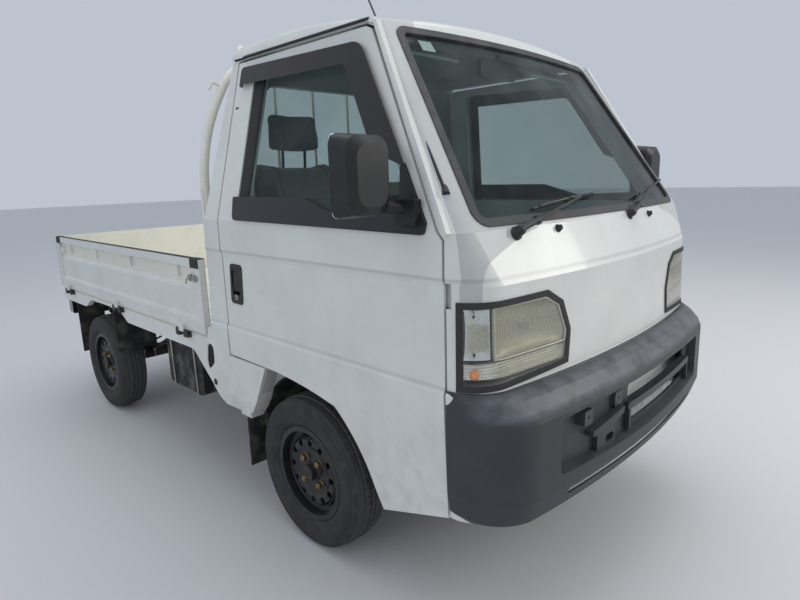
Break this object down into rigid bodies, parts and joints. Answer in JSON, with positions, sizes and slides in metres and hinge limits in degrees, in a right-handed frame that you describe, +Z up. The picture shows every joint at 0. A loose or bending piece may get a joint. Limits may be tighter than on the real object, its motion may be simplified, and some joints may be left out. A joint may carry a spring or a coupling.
{
  "type": "kei truck",
  "caption": "Small cab-over flatbed truck with a steel cab, drop-side load bed, hinged doors and gates and steerable front wheels.",
  "frame": {"origin": "on the ground, below the middle of the overall length and width", "axes": "+Z up, the front faces -Y, +X is the vehicle's left side; the driver's side is -X"},
  "size_m": [1.764, 3.295, 1.8015],
  "materials": {
    "painted": "slightly worn gloss",
    "underbody": "satin black",
    "engine": "cast",
    "exhaust": "dull",
    "rims": "satin black",
    "tyres": "rubber",
    "glass": "clear",
    "lamps": "slightly yellowed",
    "tail_lamps": "clear red",
    "black_plastic": "textured",
    "black_rubber": "matt",
    "black_metal": "satin",
    "seats": "ribbed cloth"
  },
  "bodies": {
    "truck": {"cab_shell": "painted", "cab_floor": "underbody", "dashboard": "black_plastic", "seat_right": "seats", "seat_left": "seats", "steering_column": "black_plastic", "windscreen": "glass", "windscreen_seal": "black_rubber", "rear_window": "glass", "lamp_bezels": "black_rubber", "headlamps": "lamps", "front_bumper": "black_plastic", "chassis_frame": "underbody", "front_arms": "underbody", "rear_axle": "underbody", "leaf_springs": "underbody", "engine": "engine", "prop_shaft": "underbody", "fuel_tank": "underbody", "exhaust": "exhaust", "bed": "painted", "headboard": "painted", "gate_hinges": "underbody", "rear_bar": "underbody", "tail_lamps": "tail_lamps", "mud_flaps": "black_rubber", "wipers": "black_metal", "antenna": "black_metal", "battery_box": "underbody", "cab_mirror": "black_plastic"},
    "door_right": {"door_panel_right": "painted", "door_glass_right": "glass", "door_trim_right": "black_plastic", "door_visor_right": "black_plastic"},
    "door_left": {"door_panel_left": "painted", "door_glass_left": "glass", "door_trim_left": "black_plastic", "door_visor_left": "black_plastic"},
    "gate_right": {"gate_right": "painted"},
    "gate_left": {"gate_left": "painted"},
    "tailgate": {"tailgate": "painted"},
    "steering_wheel": {"steering_wheel": "black_plastic"},
    "steering_rack": {"steering_rack": "underbody"},
    "knuckle_right": {"knuckle_right": "underbody"},
    "knuckle_left": {"knuckle_left": "underbody"},
    "wheel_front_right": {"rim_front_right": "rims", "tyre_front_right": "tyres"},
    "wheel_front_left": {"rim_front_left": "rims", "tyre_front_left": "tyres"},
    "wheel_rear_right": {"rim_rear_right": "rims", "tyre_rear_right": "tyres"},
    "wheel_rear_left": {"rim_rear_left": "rims", "tyre_rear_left": "tyres"}
  },
  "joints": [
    {"name": "door_right_hinge", "type": "hinge", "parent": "truck", "child": "door_right", "pos_m": [-0.693, -1.3995, 0.8], "axis": [0, 0, 1], "range_deg": [0, 65]},
    {"name": "door_left_hinge", "type": "hinge", "parent": "truck", "child": "door_left", "pos_m": [0.693, -1.3995, 0.8], "axis": [0, 0, -1], "range_deg": [0, 65]},
    {"name": "gate_right_hinge", "type": "hinge", "parent": "truck", "child": "gate_right", "pos_m": [-0.704, 0.7115, 0.657], "axis": [0, -1, 0], "range_deg": [0, 170]},
    {"name": "gate_left_hinge", "type": "hinge", "parent": "truck", "child": "gate_left", "pos_m": [0.704, 0.7115, 0.657], "axis": [0, 1, 0], "range_deg": [0, 170]},
    {"name": "tailgate_hinge", "type": "hinge", "parent": "truck", "child": "tailgate", "pos_m": [0, 1.6405, 0.657], "axis": [-1, 0, 0], "range_deg": [0, 170]},
    {"name": "steering", "type": "hinge", "parent": "truck", "child": "steering_wheel", "pos_m": [-0.385, -1.0625, 1.03], "axis": [0, 0.5446, 0.8387], "range_deg": [-560, 560]},
    {"name": "knuckle_right_turn", "type": "hinge", "parent": "truck", "child": "knuckle_right", "pos_m": [-0.545, -0.7625, 0.19], "axis": [0.1822, 0, 0.9833], "range_deg": [-35, 35]},
    {"name": "knuckle_left_turn", "type": "hinge", "parent": "truck", "child": "knuckle_left", "pos_m": [0.545, -0.7625, 0.19], "axis": [-0.1822, 0, 0.9833], "range_deg": [-35, 35]},
    {"name": "rack_slide", "type": "slide", "parent": "truck", "child": "steering_rack", "axis": [-1, 0, 0], "range_m": [-0.0404, 0.0404]},
    {"name": "wheel_front_right_spin", "type": "hinge", "parent": "knuckle_right", "child": "wheel_front_right", "pos_m": [-0.6, -0.7625, 0.267], "axis": [1, 0, 0], "continuous": true},
    {"name": "wheel_front_left_spin", "type": "hinge", "parent": "knuckle_left", "child": "wheel_front_left", "pos_m": [0.6, -0.7625, 0.267], "axis": [1, 0, 0], "continuous": true},
    {"name": "wheel_rear_right_spin", "type": "hinge", "parent": "truck", "child": "wheel_rear_right", "pos_m": [-0.6, 1.1375, 0.267], "axis": [1, 0, 0], "continuous": true},
    {"name": "wheel_rear_left_spin", "type": "hinge", "parent": "truck", "child": "wheel_rear_left", "pos_m": [0.6, 1.1375, 0.267], "axis": [1, 0, 0], "continuous": true}
  ],
  "couplings": [
    {"joint": "knuckle_right_turn", "follows": "steering", "ratio": 0.0625},
    {"joint": "knuckle_left_turn", "follows": "steering", "ratio": 0.0625},
    {"joint": "rack_slide", "follows": "steering", "m_per_rad": 0.004125}
  ]
}
